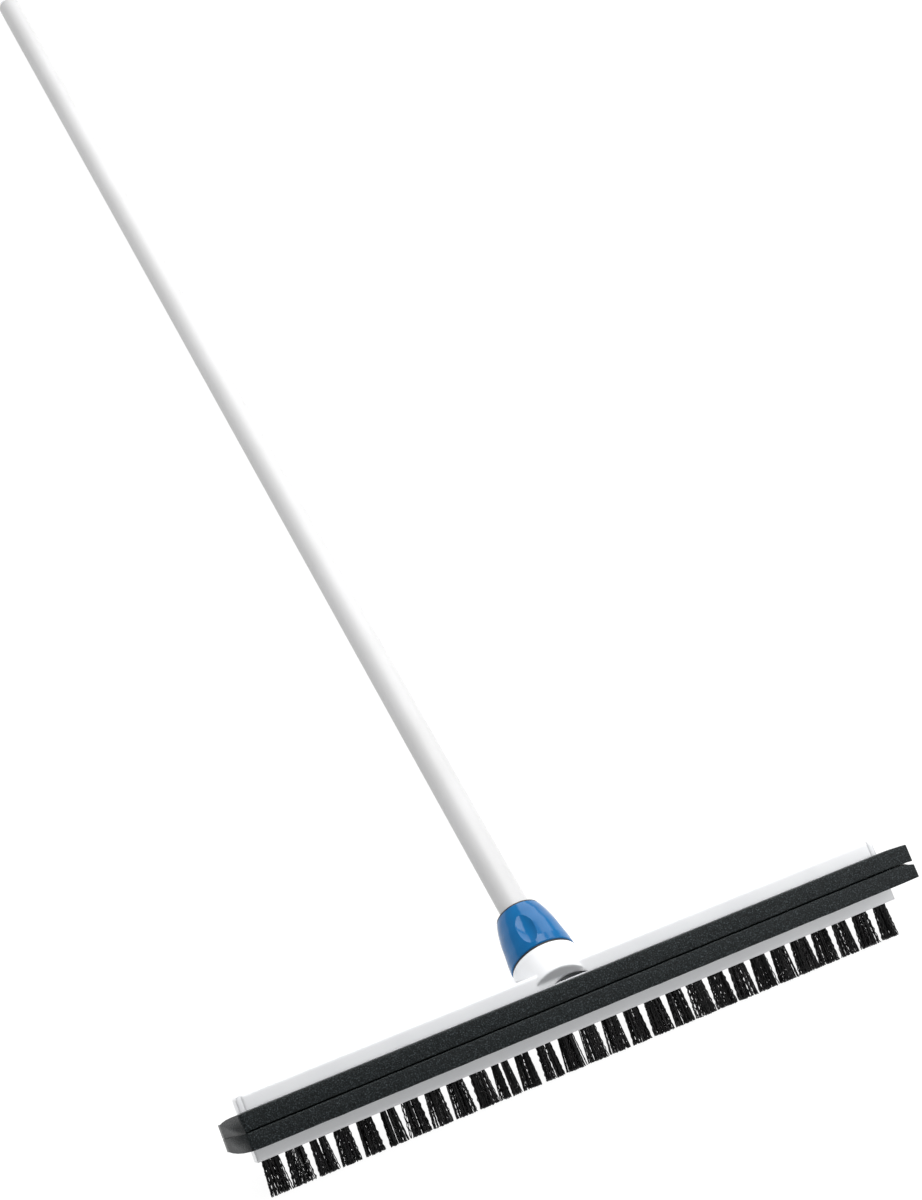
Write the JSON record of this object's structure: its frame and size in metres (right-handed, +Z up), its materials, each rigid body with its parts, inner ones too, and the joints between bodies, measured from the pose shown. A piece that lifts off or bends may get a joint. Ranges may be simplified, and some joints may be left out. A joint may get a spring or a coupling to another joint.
{
  "type": "pool wall brush",
  "caption": "Long straight scrub brush head with an upright double foam squeegee blade, on a straight pole held by a twist-lock collar.",
  "frame": {"origin": "middle of the object's base as it lies at rest: centred on its length and width, at the level of the surface it lies on", "axes": "+X along the head, to the right seen from the blade side; +Y along the pole from the head towards its free end (0.8 degree above the pole's own slope); +Z up, away from the surface"},
  "size_m": [0.506, 1.3752, 0.0807],
  "materials": {
    "white_plastic": "satin moulded plastic",
    "white_coating": "smooth white coating on steel tube",
    "blue_plastic": "glossy moulded plastic",
    "black_foam": "matt cellular rubber with a fine open grain",
    "black_bristle": "crimped nylon filaments",
    "keeper_strip": "satin anodised strip",
    "steel": "zinc-plated",
    "grey_plastic": "moulded acetal",
    "black_rubber": "matt rubber"
  },
  "bodies": {
    "head": {"head_body": "white_plastic", "end_cap_left": "white_plastic", "end_cap_right": "white_plastic", "blade_keeper_upper": "keeper_strip", "blade_keeper_lower": "keeper_strip", "foam_blade_upper": "black_foam", "foam_blade_lower": "black_foam", "blade_divider": "keeper_strip", "bristle_block": "white_plastic", "bristle_tuft_01": "black_bristle", "bristle_tuft_02": "black_bristle", "bristle_tuft_03": "black_bristle", "bristle_tuft_04": "black_bristle", "bristle_tuft_05": "black_bristle", "bristle_tuft_06": "black_bristle", "bristle_tuft_07": "black_bristle", "bristle_tuft_08": "black_bristle", "bristle_tuft_09": "black_bristle", "bristle_tuft_10": "black_bristle", "bristle_tuft_11": "black_bristle", "bristle_tuft_12": "black_bristle", "bristle_tuft_13": "black_bristle", "bristle_tuft_14": "black_bristle", "bristle_tuft_15": "black_bristle", "bristle_tuft_16": "black_bristle", "bristle_tuft_17": "black_bristle", "bristle_tuft_18": "black_bristle", "bristle_tuft_19": "black_bristle", "bristle_tuft_20": "black_bristle", "bristle_tuft_21": "black_bristle", "bristle_tuft_22": "black_bristle", "bristle_tuft_23": "black_bristle", "bristle_tuft_24": "black_bristle", "bristle_tuft_25": "black_bristle", "bristle_tuft_26": "black_bristle", "bristle_tuft_27": "black_bristle", "bristle_tuft_28": "black_bristle", "bristle_tuft_29": "black_bristle", "tuft_anchors": "steel", "block_screws": "steel", "clamp_screws": "steel", "socket_bush": "grey_plastic", "collet": "grey_plastic", "collar_seal": "black_rubber", "collar_gasket": "black_rubber", "snap_ring": "steel"},
    "collar": {"lock_collar": "blue_plastic", "collar_wiper": "black_rubber"},
    "wedge": {"wedge_ring": "grey_plastic"},
    "pole": {"pole_tube": "white_coating", "pole_plug": "grey_plastic", "pole_cap": "white_plastic", "plug_pin": "steel"}
  },
  "joints": [
    {"name": "collar_twist", "type": "hinge", "parent": "head", "child": "collar", "pos_m": [-0.007, -0.55845, 0.02744], "axis": [0, 0.9999, -0.0132], "range_deg": [0, 90]},
    {"name": "wedge_slide", "type": "slide", "parent": "head", "child": "wedge", "axis": [0, 0.9999, -0.0132], "range_m": [0, 0.0031]},
    {"name": "pole_slide", "type": "slide", "parent": "head", "child": "pole", "axis": [0, 0.9999, -0.0132], "range_m": [0, 0.03]}
  ],
  "couplings": [
    {"joint": "wedge_slide", "follows": "collar_twist", "m_per_rad": 0.0019099}
  ]
}
